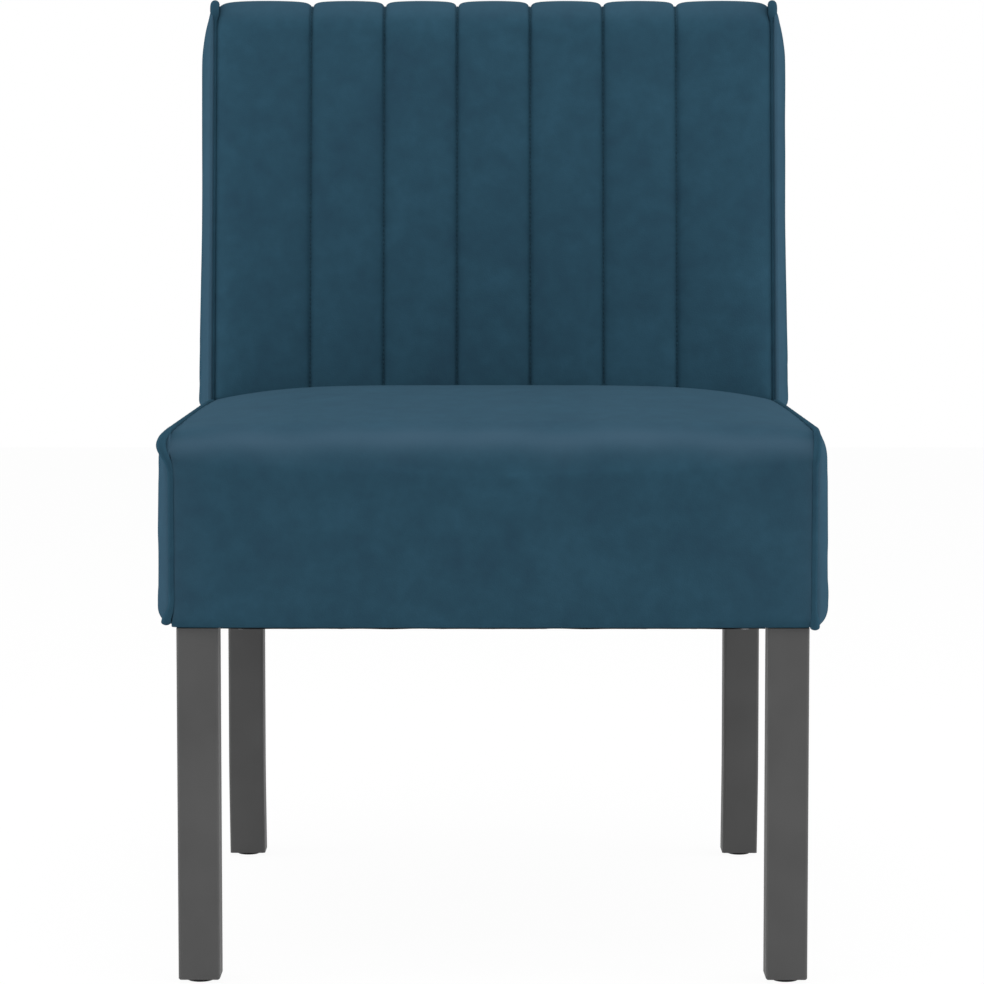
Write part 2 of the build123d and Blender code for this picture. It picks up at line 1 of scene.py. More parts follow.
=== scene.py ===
# %% [markdown]
# Armless upholstered chair: a padded box seat, a leaning back sewn into seven upright channels, and four
# dark square legs. The solids of the chair come in as a fixed frame, in metres, front towards -Y. This
# lesson dresses them: the cloth and padding become soft surfaces, and every hard piece gets the finish of
# its material.

# %% Load the frame
import math

import bmesh
import bpy
import numpy as np
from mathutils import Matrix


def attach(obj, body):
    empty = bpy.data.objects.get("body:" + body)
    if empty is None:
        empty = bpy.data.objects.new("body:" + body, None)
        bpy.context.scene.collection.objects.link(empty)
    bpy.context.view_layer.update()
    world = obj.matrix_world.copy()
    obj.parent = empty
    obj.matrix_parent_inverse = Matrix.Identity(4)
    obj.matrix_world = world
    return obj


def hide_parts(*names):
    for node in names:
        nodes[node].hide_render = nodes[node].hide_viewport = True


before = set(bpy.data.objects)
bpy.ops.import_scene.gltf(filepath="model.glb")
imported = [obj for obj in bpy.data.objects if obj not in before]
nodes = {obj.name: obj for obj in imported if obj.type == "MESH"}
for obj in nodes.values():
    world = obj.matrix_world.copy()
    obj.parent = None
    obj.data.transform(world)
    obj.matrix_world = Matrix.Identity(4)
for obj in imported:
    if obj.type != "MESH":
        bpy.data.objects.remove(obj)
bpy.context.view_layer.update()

scene = bpy.context.scene
MM = 0.001

# %% [markdown]
# Every soft piece below is a grid of points worked out as one numpy array, in millimetres. Small helpers
# turn such grids into closed meshes. A tube joins ring after ring of points; a pillow is a tube whose rings
# run out along its outer sheet and back along its inner sheet. Closed forms shade and export well, because
# they have an inside and an outside all round.

# %% Grids into closed meshes
def ring_faces(rows, columns):
    """Quads between neighbouring rings: point (r, c) joins (r, c+1), (r+1, c+1) and (r+1, c), where c
    runs round."""
    r, c = np.meshgrid(np.arange(rows - 1), np.arange(columns), indexing="ij")
    after = (c + 1) % columns
    quads = [r * columns + c, r * columns + after, (r + 1) * columns + after, (r + 1) * columns + c]
    return np.stack(quads, axis=-1).reshape(-1, 4)


def put_mesh(name, points, faces, merge=0.0):
    """A smooth-shaded object from points in millimetres; close points are merged and faces turned outward."""
    mesh = bpy.data.meshes.new(name)
    mesh.from_pydata((np.asarray(points).reshape(-1, 3) * MM).tolist(), [], faces)
    shape = bmesh.new()
    shape.from_mesh(mesh)
    if merge:
        bmesh.ops.remove_doubles(shape, verts=shape.verts, dist=merge * MM)
    bmesh.ops.recalc_face_normals(shape, faces=shape.faces)
    shape.to_mesh(mesh)
    shape.free()
    mesh.shade_smooth()
    piece = bpy.data.objects.new(name, mesh)
    scene.collection.objects.link(piece)
    return piece


def tube(name, rings, merge=0.0):
    """Closed tube of rings, shaped (rows, columns, 3), with one flat face at each end."""
    rows, columns = rings.shape[:2]
    ends = [list(range(columns))[::-1], list(range((rows - 1) * columns, rows * columns))]
    return put_mesh(name, rings, ring_faces(rows, columns).tolist() + ends, merge)


def pillow(name, outer, inner, merge=0.02):
    """Closed form of two sheets on the same grid, each (rows, columns, 3), with quads across both ends."""
    rings = np.concatenate([outer, inner[:, ::-1]], axis=1)
    rows, columns = rings.shape[:2]
    j = np.arange(columns // 2 - 1)
    cap = np.stack([j, columns - 1 - j, columns - 2 - j, j + 1], axis=-1)
    faces = np.concatenate([ring_faces(rows, columns), cap, cap[:, ::-1] + (rows - 1) * columns])
    return put_mesh(name, rings, faces.tolist(), merge)


def waves(along, lengths, phases):
    """Soft irregular ripple from -1 to 1: the mean of sines with the given wavelengths and phases."""
    parts = [np.sin(2 * np.pi * along / size + phase) for size, phase in zip(lengths, phases)]
    return sum(parts) / len(parts)


# %% [markdown]
# Padded cloth is never as even as a drawn curve: the filling presses it out wherever no seam holds it.
# Blender's Cloth does that honestly. Each pad starts a little flat, its seam lines are pinned, air pressure
# swells it for a few steps without gravity, and the distance any point may move is capped, so that the pad
# keeps the size of the solid it stands for. The result is written back into the mesh and the modifier
# removed.

# %% Pressure from inside
def read_points(mesh):
    """All vertices of a mesh as one array of (x, y, z)."""
    flat = np.empty(len(mesh.vertices) * 3)
    mesh.vertices.foreach_get("co", flat)
    return flat.reshape(-1, 3)


def swell(piece, held, pressure, cap, steps=15):
    """Blow the cloth out: pinned where held(points in mm) is true, each move kept smoothly below cap mm."""
    start = read_points(piece.data)
    pins = piece.vertex_groups.new(name="held")
    pins.add(np.flatnonzero(held(start / MM)).tolist(), 1.0, "REPLACE")
    cloth = piece.modifiers.new("Cloth", "CLOTH")
    cloth.settings.quality = 5
    cloth.settings.mass = 0.25
    cloth.settings.tension_stiffness = cloth.settings.compression_stiffness = 12
    cloth.settings.shear_stiffness = 6
    cloth.settings.bending_stiffness = 0.6
    cloth.settings.vertex_group_mass = "held"
    cloth.settings.use_pressure = True
    cloth.settings.uniform_pressure_force = pressure
    cloth.settings.effector_weights.gravity = 0
    cloth.point_cache.frame_start, cloth.point_cache.frame_end = 1, steps
    for step in range(1, steps + 1):
        scene.frame_set(step)
    shown = piece.evaluated_get(bpy.context.evaluated_depsgraph_get())
    move = read_points(shown.to_mesh()) - start
    shown.to_mesh_clear()
    reach = np.maximum(np.linalg.norm(move, axis=1, keepdims=True), 1e-9)
    move *= cap * MM * np.tanh(reach / (cap * MM)) / reach
    piece.modifiers.remove(cloth)
    piece.vertex_groups.remove(pins)
    scene.frame_set(1)
    piece.data.vertices.foreach_set("co", (start + move).ravel())
    piece.data.update()
    print(piece.name, "swelled by up to", round(float(np.linalg.norm(move, axis=1).max()) / MM, 2), "mm")


def soften(piece):
    """One level of Subdivision Surface, the same for the view and the render."""
    smooth = piece.modifiers.new("Soft", "SUBSURF")
    smooth.levels = smooth.render_levels = 1


# %% [markdown]
# Every finish below is a node material. One helper adds a node with its settings and links, and one
# function turns the sRGB hex colours a designer would write down into the linear values the shader counts
# in. Pattern scales are worked out from millimetres: a texture of scale S repeats about every 1/S metres.

# %% Nodes and colours
def linear(code):
    """sRGB hex, such as #2a4a5c, as linear RGBA: ((c + 0.055) / 1.055) to the power 2.4, or c / 12.92
    when dark."""
    share = np.array([int(code[i:i + 2], 16) / 255 for i in (1, 3, 5)])
    return (*np.where(share <= 0.04045, share / 12.92, ((share + 0.055) / 1.055) ** 2.4), 1.0)


def per_mm(size):
    """Texture scale for a pattern that repeats every size millimetres."""
    return 1 / (size * MM)


def add(tree, kind, inputs=None, stops=(), **settings):
    """Add one node: settings are its properties, inputs maps a socket to a value or to (node, output), stops
    fill a colour ramp with (place, hex)."""
    made = tree.nodes.new(kind)
    for key, value in settings.items():
        setattr(made, key, value)
    for key, value in (inputs or {}).items():
        if isinstance(value, tuple) and isinstance(value[0], bpy.types.Node):
            tree.links.new(value[0].outputs[value[1]], made.inputs[key])
        else:
            made.inputs[key].default_value = value
    for _ in stops[2:]:
        made.color_ramp.elements.new(0.5)
    for i, (place, code) in enumerate(stops):
        made.color_ramp.elements[i].position, made.color_ramp.elements[i].color = place, linear(code)
    return made


def new_material(name):
    """An empty node material and its tree."""
    made = bpy.data.materials.new(name)
    made.use_nodes = True
    made.node_tree.nodes.clear()
    return made, made.node_tree


# %% [markdown]
# Woven velvet, petrol blue. Short upright pile is dark when you look straight into it and pale where you
# see it from the side. It has no gloss of its own, so the surface is rough, without mirror-like reflection
# and with a little sheen. Pile that has been stroked different ways gives soft cloudy patches a few
# centimetres wide, with smaller blotches inside them. A lighter colour is painted in through a point
# attribute: a painted highlight on bends and top edges and painted sheen on the top and side edges. The pile
# itself is a fine grain, drawn here at 1.3 mm, coarser than the real half millimetre, so that it shows.

# %% Velvet
velvet, tree = new_material("woven_velvet_petrol")
where = add(tree, "ShaderNodeTexCoord")
stroked = add(tree, "ShaderNodeTexNoise",
              {"Vector": (where, "Object"), "Scale": per_mm(75), "Detail": 3.0, "Roughness": 0.55,
               "Distortion": 0.5})
blotch = add(tree, "ShaderNodeTexNoise",
             {"Vector": (where, "Object"), "Scale": per_mm(16), "Detail": 3.0, "Roughness": 0.6})
pile = add(tree, "ShaderNodeTexNoise",
           {"Vector": (where, "Object"), "Scale": per_mm(1.3), "Detail": 2.0, "Roughness": 0.6})
cloudy = add(tree, "ShaderNodeMath", {0: (stroked, "Fac"), 1: (blotch, "Fac")}, operation="ADD")
shade = add(tree, "ShaderNodeMath", {0: (cloudy, "Value"), 1: 0.5}, operation="MULTIPLY")
tint = add(tree, "ShaderNodeValToRGB", {"Fac": (shade, "Value")},
           stops=[(0.32, "#243d4c"), (0.5, "#264251"), (0.68, "#294757")])
# Painted highlight and sheen: a point attribute mixes this lighter velvet colour in wherever it is set.
painted_highlight = add(tree, "ShaderNodeAttribute", attribute_name="opened_pile")
# A Mix node has sockets for each kind of data: 0 is the factor, 6 and 7 are the colours, output 2 their mix.
tint = add(tree, "ShaderNodeMix", {0: (painted_highlight, "Fac"), 6: (tint, "Color"), 7: linear("#374f5f")},
           data_type="RGBA")
relief = add(tree, "ShaderNodeBump", {"Height": (pile, "Fac"), "Strength": 0.3, "Distance": 0.5 * MM})
surface = add(tree, "ShaderNodeBsdfPrincipled",
              {"Base Color": (tint, 2), "Roughness": 0.7, "Specular IOR Level": 0.0,
               "Sheen Weight": 0.02, "Sheen Roughness": 0.4, "Sheen Tint": linear("#a9c4d0"),
               "Normal": (relief, "Normal")})
add(tree, "ShaderNodeOutputMaterial", {"Surface": (surface, "BSDF")})
print(velvet.name, "has", len(tree.nodes), "nodes")


def paint_highlight_and_sheen(piece, share):
    """Paint highlight and sheen into the velvet: how much lighter colour is mixed in, from 0 to 1, with one
    value for every point of a piece.
    """
    mark = piece.data.attributes.new("opened_pile", "FLOAT", "POINT")
    mark.data.foreach_set("value", share)


def dress(piece, finish, slot, *stands_for):
    """Give a new piece its finish, tie it to the chair and let it stand for the named solids."""
    piece.data.materials.append(finish)
    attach(piece, "root")
    if stands_for:
        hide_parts(*stands_for)
    print(piece.name, "faces", len(piece.data.polygons), "for", stands_for)
    return piece


# %% [markdown]
# The seat is one panel of velvet drawn over a foam block: up the front, over the top, down behind the
# sitter and round the back of the frame. Its side view changes across the chair, since the block is crowned
# in the middle and drawn down at the two side seams. A box with rounded edges would look hard; a cushion
# from the modifier stack would lose the exact seam line. So the side view is written as a function of the
# distance from the middle, carried across the chair as a tube, and then swelled.

# %% Runs of the seat's side view
front_y, rear_y, low_z, deck_z, seam_z = -310.0, 290.0, 285.0, 437.0, 442.0
seat_edge, seat_seam_x = 251.8, 253.5
lip_edge, lip_more, hem_radius = 22.0, 9.0, 6.0
heel_y, roll_y, deck_y = 122.0, 133.0, 138.0


def eased(count):
    """Places from 0 to 1, closer together near both ends: half of one minus a cosine."""
    return (1 - np.cos(np.linspace(0, np.pi, count))) / 2


def through(start, middle, end, count):
    """Curve through three places at t = 0, 1/2 and 1: the quadratic with those values, t excluding 1."""
    t = np.linspace(0, 1, count, endpoint=False)[:, None]
    return (1 - t) * (1 - 2 * t) * start + 4 * t * (1 - t) * middle + t * (2 * t - 1) * end


def straight(start, end, count):
    """Straight run with its points closer together near both ends, the last point left to the next run."""
    return start + (end - start) * eased(count + 1)[:-1, None]


def seat_section(x):
    """Side views of the seat at stations x: front face, rounded lip, crowned top, roll at the back's foot,
    hidden deck, rear and bottom. Heights grow with 1 - |x / seam|^5, and the loop is smoothed along its
    length."""
    full = np.clip(1 - np.abs(x / seat_seam_x) ** 5, 0, 1)
    one = np.ones_like(x)
    face, lip, radius = front_y + 2.5 * one, seam_z + 2.5 * full, lip_edge + lip_more * full
    crown, heel = seam_z + 1 + 15 * full, seam_z + 12.5 * full
    roll = deck_z + 0.68 * (heel - deck_z)
    bend = np.linspace(0, np.pi / 2, 9, endpoint=False)[:, None]
    foot = np.linspace(0, np.pi / 2, 4, endpoint=False)[:, None]
    runs = [
        (through(face, face - 0.8 * full, face, 26), straight((low_z + hem_radius) * one, lip - radius, 26)),
        (face + radius * (1 - np.cos(bend)), lip - radius * (1 - np.sin(bend))),
        (through(face + radius, -75 * one, heel_y * one, 74), through(lip, crown, heel, 74)),
        (through(heel_y * one, roll_y * one, deck_y * one, 8), through(heel, roll, deck_z * one, 8)),
        (straight(deck_y * one, (rear_y - 2) * one, 9), straight(deck_z * one, deck_z * one, 9)),
        (straight(rear_y * one, rear_y * one, 18), straight((deck_z - 2) * one, (low_z + 2) * one, 18)),
        (straight((rear_y - 2) * one, face + hem_radius, 24), straight(low_z * one, low_z * one, 24)),
        (face + hem_radius * (1 - np.sin(foot)), low_z * one + hem_radius * (1 - np.cos(foot))),
    ]
    loop = np.stack([np.concatenate([y for y, z in runs]), np.concatenate([z for y, z in runs])], axis=-1)
    for _ in range(3):
        loop = (np.roll(loop, 1, axis=0) + 2 * loop + np.roll(loop, -1, axis=0)) / 4
    return loop


# %% [markdown]
# At the two side seams the thread draws the cloth in: by 1.6 mm along the top, where it is sat on, and by
# less down the front. The gathers there are a ripple that dies out a centimetre from the seam. Which way
# the cloth faces tells front from top: 0 degrees is the front face and 90 the top.

# %% Seat block, drawn in at its seams
near_seam = np.array([0, 0.5, 1.3, 2.5, 4.0, 6.0])
seat_x = np.concatenate([near_seam - seat_edge, np.linspace(-243, 243, 83), seat_edge - near_seam[::-1]])
section = seat_section(seat_x)
along = np.roll(section, -1, axis=0) - np.roll(section, 1, axis=0)
along /= np.linalg.norm(along, axis=-1, keepdims=True)
inward = np.stack([along[..., 1], -along[..., 0]], axis=-1)
facing = np.degrees(np.arctan2(-inward[..., 1], inward[..., 0]))
run = np.arange(len(section))[:, None] * 5.0
to_seam = seat_edge - np.abs(seat_x)
pucker = waves(run + 3 * np.sign(seat_x), (23, 31, 41), (0.4, 2.1, 4.0))
front_crease, more_on_top = 0.5, 1.1
crease = front_crease + more_on_top * np.clip((facing - 20) / 40, 0, 1)
drawn_in = crease * np.exp(-to_seam / 3.0) + 0.45 * pucker * np.exp(-to_seam / 9.0)
section = section + inward * drawn_in[..., None]
print("seat grid", section.shape, "top", round(section[..., 1].max(), 1), "mm")


# %% Seat block, pulled at its corners
def top_part(y, z):
    """Share of the seat's top seam: 0 down the front and behind the sitter, up to 1 over the last 25 mm."""
    return np.clip((z - 415) / 25, 0, 1) * (y < 130)


# Two bell curves pull the front corners sideways, at the top fold and at the hem; each pull is (left, right).
fold_pull, fold_reach = (-2.8, 0.5), 15
hem_pull, hem_reach = (-2.8, 0.0), 12
y, z = section[..., 0], section[..., 1]
fold = np.exp(-((y - front_y - 6) ** 2 + (z - seam_z + 12) ** 2) / fold_reach ** 2)
hem = np.exp(-((y - front_y - 4) ** 2 + (z - low_z) ** 2) / hem_reach ** 2)
near_edge = (np.abs(seat_x) / seat_edge) ** 8
pull = fold * np.where(seat_x < 0, *fold_pull) + hem * np.where(seat_x < 0, *hem_pull)
wide = seat_x * (1 + 0.008 * top_part(y, z) * near_edge) + pull * near_edge
seat = tube("seat_cushion", np.concatenate([wide[..., None], section], axis=-1).transpose(1, 0, 2))
print("seat corners pulled by up to", round(np.abs(pull * near_edge).max(), 1), "mm")

# %% [markdown]
# On the seat the lighter colour is painted in: a painted highlight along the front lip, a paler painted top,
# lit from above, and a thin painted highlight where the front meets the side seams. The painted band on the
# lip wanders and sits lower towards the corners. Then the block is swelled, held at its seams and under
# the back.

# %% Painted highlight on the seat, and the swelling
# Painted light on the seat: a highlight on the lip, a paler top as if lit from above, a light line at the
# side seams.
lip_highlight_angle = 48 - 20 * np.abs(seat_x / seat_edge) ** 5 + 5 * waves(seat_x, (71, 113, 173), (0.2, 1.4, 3.3))
lip_highlight_strength = 0.9 + 0.1 * waves(seat_x, (61, 97, 149), (2.0, 0.7, 4.1))
lip_highlight = lip_highlight_strength * np.exp(-((facing - lip_highlight_angle) / 24) ** 2)
top_sheen_strength = 0.3 + 0.25 * (seat_x / seat_edge) ** 4
top_sheen = top_sheen_strength * np.clip((facing - 50) / 30, 0, 1) * (facing < 130)
seam_highlight = 0.25 * np.exp(-(to_seam / 2.5) ** 2) * (facing < 30)
paint_highlight_and_sheen(seat, np.minimum(lip_highlight + top_sheen + seam_highlight, 1).T.ravel())
swell(seat, lambda p: (np.abs(p[:, 0]) > 249.5) | (p[:, 1] > 126) | (p[:, 2] < 292), pressure=4.0, cap=1.6)
soften(seat)
dress(seat, velvet, "velvet", "seat_wrap_cover", "seat_foam", "seat_front_pad", "seat_felt_pad")

# %% [markdown]
# A side panel of velvet closes each side of the seat, with a little wadding behind it, so it bulges between
# its seams. Its outline is the seat's side view; over that outline it swells like a quarter ellipse within
# about 16 mm of every edge and is nearly flat beyond. Rows run up the panel and columns run from front to
# rear, both closer together near the edges, where the surface turns quickest and painted sheen lightens it.

# %% Side panels as pillows
def quarter(distance, reach):
    """Quarter ellipse: 0 at the edge, 1 from reach inwards, upright at the edge."""
    return np.sqrt(1 - (1 - np.clip(distance / reach, 0, 1)) ** 2)


def corner(distance, radius):
    """How far a round corner stands back from the straight edge, at a distance from the corner's tip."""
    return radius - np.sqrt(radius ** 2 - (radius - np.clip(distance, 0, radius)) ** 2)


def side_panel(name, sign, z, front, rear, start, depth, climb, reach, seed, tuck=0.0):
    """Pillow between front(z) and rear(z): depth times climb(z) times a quarter ellipse at the front and rear
    edges, with a soft ripple. The inner sheet lies 3 mm inside the seam, and the low front corner is tucked
    up."""
    u = eased(84)[None, :]
    y = front[:, None] + u * (rear - front)[:, None]
    low_front = np.exp(-((y - front[:, None]) / 14) ** 2 - ((z[:, None] - z[0]) / 12) ** 2)
    height = z[:, None] + tuck * low_front
    rise = climb[:, None] * quarter(y - front[:, None], reach) * quarter(rear[:, None] - y, reach)
    ripple = waves(y + 0.6 * height, (47, 71, 113), (seed, seed + 2, seed + 4))
    out = start + rise * (depth - 0.6 + 2.4 * u * (1 - u) + 0.12 * ripple)
    outer = np.stack([sign * out, y, height], axis=-1)
    inside = np.stack([sign * (start - 3.0 * rise), y, height], axis=-1)
    panel = pillow(name, outer, inside)
    at = read_points(panel.data) / MM
    to_edge = np.minimum(at[:, 1] - np.interp(at[:, 2], z, front), np.interp(at[:, 2], z, rear) - at[:, 1])
    # Painted sheen: the velvet colour is lightened within about 14 mm of the panel's front and rear edges.
    paint_highlight_and_sheen(panel, 0.55 * np.exp(-(to_edge / 14) ** 2))
    return panel


seat_z = low_z + 0.6 + (seam_z - 1.0 - low_z) * eased(48)
seat_front = front_y + 2.8 + np.maximum(corner(seat_z[-1] - seat_z, 21), corner(seat_z - seat_z[0], 6))
seat_rear = rear_y - 0.6 - np.maximum(corner(seat_z[-1] - seat_z, 8), corner(seat_z - seat_z[0], 4))
fuller_below = 1.14 - 0.32 * (seat_z - low_z) / (seam_z - low_z)
seat_climb = quarter(seat_z - seat_z[0], 16) * quarter(seat_z[-1] - seat_z, 22) * fuller_below
corner_tuck = {-1: 4.0, 1: 0.0}
for side, sign in (("left", -1), ("right", 1)):
    panel = side_panel(f"seat_side_{side}", sign, seat_z, seat_front, seat_rear, start=255.0, depth=11.0,
                       climb=seat_climb, reach=16.0, seed=1.0 + sign, tuck=corner_tuck[sign])
    swell(panel, lambda p: np.abs(p[:, 0]) < 258, pressure=3.0, cap=0.8)
    soften(panel)
    dress(panel, velvet, "velvet", f"seat_side_cover_{side}", f"seat_side_pad_{side}")

# %% [markdown]
# The back's front panel is sewn to its backing along six upright lines, so the foam stands up between them
# in seven channels that run over the top edge and end at the rear seam. The path over the top is two
# straight runs and a short top joined by round corners. Across it, each channel is a flat crest that drops
# steeply into the seams: a low arch plus (1 - |s|^12)^0.5, with s from -1 to 1 between two seams, whose
# bottoms are flat for a millimetre each way. Towards the sides of the back the power is 6, which rounds the
# edge. Columns crowd at the seams.

# %% Path over the back
lean_front, lean_rear, top_z = math.radians(8.5), math.radians(3.1), 806.0
back_foot_y, seam_depth = 140.0, 5.0


def front_line(z, inset=0.0):
    """Y of the back's leaning front face at height z, moved inset into the back."""
    return back_foot_y + (z - deck_z) * math.tan(lean_front) + inset / math.cos(lean_front)


def rear_line(z, inset=0.0):
    """Y of the back's rear face at height z, moved inset into the back."""
    return rear_y + (z - deck_z) * math.tan(lean_rear) - inset / math.cos(lean_rear)


def rounded(corners, radii, step=1.0):
    """Even points along straight runs whose corners are replaced by arcs: the run stops
    radius * tan(turn / 2) before a corner and a circle carries the line round to the next run. Returns points
    and distance."""
    corners = np.asarray(corners, float)
    pieces = [corners[:1]]
    for before, tip, after, radius in zip(corners, corners[1:], corners[2:], radii):
        come, go = (tip - before) / np.linalg.norm(tip - before), (after - tip) / np.linalg.norm(after - tip)
        turn = math.acos(np.clip(come @ go, -1, 1))
        bend = np.linspace(0, turn, 24)[:, None]
        aside = (go - come * math.cos(turn)) / math.sin(turn)
        start = tip - come * radius * math.tan(turn / 2)
        pieces.append(start + radius * (come * np.sin(bend) + aside * (1 - np.cos(bend))))
    line = np.concatenate([*pieces, corners[-1:]])
    distance = np.concatenate([[0], np.cumsum(np.linalg.norm(np.diff(line, axis=0), axis=1))])
    even = np.linspace(0, distance[-1], int(distance[-1] / step) + 1)
    return np.stack([np.interp(even, distance, line[:, k]) for k in (0, 1)], axis=-1), even


def path_at(line, distance, places):
    """Points and left-hand normals of a path at the given distances."""
    spots = np.stack([np.interp(places, distance, line[:, k]) for k in (0, 1)], axis=-1)
    slope = np.gradient(line, axis=0)
    slope = np.stack([np.interp(places, distance, slope[:, k]) for k in (0, 1)], axis=-1)
    slope /= np.linalg.norm(slope, axis=-1, keepdims=True)
    return spots, np.stack([-slope[:, 1], slope[:, 0]], axis=-1)


foot_z, end_z, crest_z = 437.6, 760.0, top_z - seam_depth
over, over_run = rounded(
    [(front_line(foot_z, seam_depth), foot_z), (front_line(crest_z, seam_depth), crest_z),
     (rear_line(crest_z, seam_depth), crest_z), (rear_line(end_z, seam_depth), end_z)], (28, 14))
print("path over the back", round(over_run[-1], 1), "mm")

# %% Stations across and along the channels
back_edge = 254.0
seams = np.array([-back_edge, -167, -100.2, -33.4, 33.4, 100.2, 167, back_edge])
one_side = np.array([0.3, 0.55, 0.73, 0.85, 0.925, 0.96, 0.975])
stations = np.concatenate([[-1], -one_side[::-1], [0], one_side])
middle, half = (seams[1:] + seams[:-1]) / 2, (seams[1:] - seams[:-1]) / 2
back_x = np.append((middle[:, None] + half[:, None] * stations).ravel(), back_edge)
share = np.append(np.tile(stations, len(middle)), 1.0)
bent_run = 172
plain = over_run[-1] - bent_run
places = np.concatenate([np.linspace(0, plain, 50, endpoint=False), np.linspace(plain, over_run[-1], 56)])
spots, outward = path_at(over, over_run, places)
print("channels", len(middle), "each", (2 * half).round(1).tolist(), "mm wide")

# %% Channelled panel
flat_bottom, crest_rise = 0.972, 4.6
within = np.minimum(np.abs(share) / flat_bottom, 1)
sharp = np.where(np.abs(back_x) > middle[-1], 6, 12)
crest = 0.2 * (1 - within ** 2) + 0.8 * np.sqrt(1 - within ** sharp)
channel = np.repeat(np.arange(len(seams)), len(stations))[None, :len(share)]
gather = waves(places[:, None] + 7 * channel, (13, 19, 29), (0.3, 1.9, 4.4))
deep = np.where(np.abs(back_x) > 250, 1.6, 0.8)
rise = crest * (crest_rise + deep) - deep + 0.3 * gather * np.exp(-((1 - np.abs(share)) / 0.12))
depth = np.interp(places, [0, over_run[-1] - 70, over_run[-1]], [16, 14, 4])[:, None]


def over_path(height):
    """Sheet that lies height above the path, at every place along it and every station across."""
    wide = np.broadcast_to(back_x, height.shape)[..., None]
    return np.concatenate([wide, spots[:, None] + outward[:, None] * height[..., None]], axis=-1)


back_outer = over_path(rise)
back = pillow("back_channels", back_outer, over_path(-depth + 0 * rise))
# Painted highlight: the velvet colour is lightened along the top of the back, above 785 mm.
paint_highlight_and_sheen(back, 0.45 * np.clip((read_points(back.data)[:, 2] / MM - 785) / 18, 0, 1))
print("back grid", back_outer.shape, "top", round(back_outer[..., 2].max(), 1), "mm")

# %% Channels, swelled
def at_seams(p):
    """True within a millimetre of a channel seam, at the foot, the rear end, and on the inner sheet."""
    x, y, z = p.T
    near = np.abs(x[:, None] - seams[None, :]).min(axis=1) < 1.2
    past_front = y > front_line(z, 9.0)
    behind = past_front & (z < 770)
    inside = past_front & (z < 789) & (y < rear_line(z, 8.0))
    return near | behind | inside | (z < 440)


swell(back, at_seams, pressure=3.0, cap=1.2)
soften(back)
dress(back, velvet, "velvet", "back_channel_cover", "back_foam")

# %% [markdown]
# The back's own sides are narrow padded panels too. They taper from the seat up to the top, and at the two
# top front corners the seam is pulled out into a small ear, as boxed cushions have it.

# %% Back side panels
back_side_low = 433.5
back_z = back_side_low + (top_z - 4.6 - back_side_low) * eased(76)
back_front = front_line(back_z, 4.2) + corner(back_z[-1] - back_z, 11)
back_rear = rear_line(back_z, 4.2) - corner(back_z[-1] - back_z, 11)
down = np.clip((back_z[-1] - back_z) / 44, 0, 1)
flare = 1 + 0.14 * np.clip((600 - back_z) / 160, 0, 1)
back_climb = (1 - (1 - down) ** 2.4) * quarter(back_z - back_z[0], 2.5) * flare
for side, sign in (("left", -1), ("right", 1)):
    panel = side_panel(f"back_side_{side}", sign, back_z, back_front, back_rear, start=257.4, depth=10.4,
                       climb=back_climb, reach=19.0, seed=2.5 + sign)
    swell(panel, lambda p: np.abs(p[:, 0]) < 260, pressure=3.0, cap=1.2)
    soften(panel)
    dress(panel, velvet, "velvet", f"back_side_cover_{side}", f"back_side_pad_{side}")

# %% [markdown]
# A plain panel closes the rear of the back, from the seat up to the end of the channels. It lies over a
# board and a thin pad, so it is a shallow pillow: a quarter ellipse along its four edges and a slight bow
# over the whole.

# %% Rear panel
rear_top, rear_round, rear_inset = 760.6, 12, 6.5
rear_z = foot_z + (rear_top - foot_z) * eased(50)[:, None]
rear_x = back_edge * (2 * eased(70) - 1)[None, :]
bulge = (quarter(back_edge - np.abs(rear_x), rear_round) * quarter(rear_z - foot_z, rear_round)
         * quarter(rear_top - rear_z, rear_round))
bow_mid, bow_half = 598, 161
bow = (1 - (rear_x / back_edge) ** 2) * (1 - ((rear_z - bow_mid) / bow_half) ** 2)
skin = rear_line(rear_z, rear_inset) + 4.2 * bulge + 3.0 * bow + 0 * rear_x
lining = rear_line(rear_z, rear_inset) - 0.6 * bulge + 0 * rear_x
flat_x, flat_z = [np.broadcast_to(part, skin.shape) for part in (rear_x, rear_z)]
rear = pillow("back_rear", *[np.stack([flat_x, y, flat_z], axis=-1) for y in (skin, lining)])
swell(rear, lambda p: p[:, 1] < rear_line(p[:, 2], 4.5), pressure=2.0, cap=1.5)
soften(rear)
dress(rear, velvet, "velvet", "back_rear_cover", "back_rear_pad")

# %% [markdown]
# Piping is a thin cord sewn inside a folded strip of the same velvet, caught in the seam between two
# panels. It runs up the front of the seat, over the top and down the rear, and all round each side of the
# back. A round profile carried along the seam's path gives it; at the back's top front corners the fold is
# thicker and stands proud, which makes the ears.

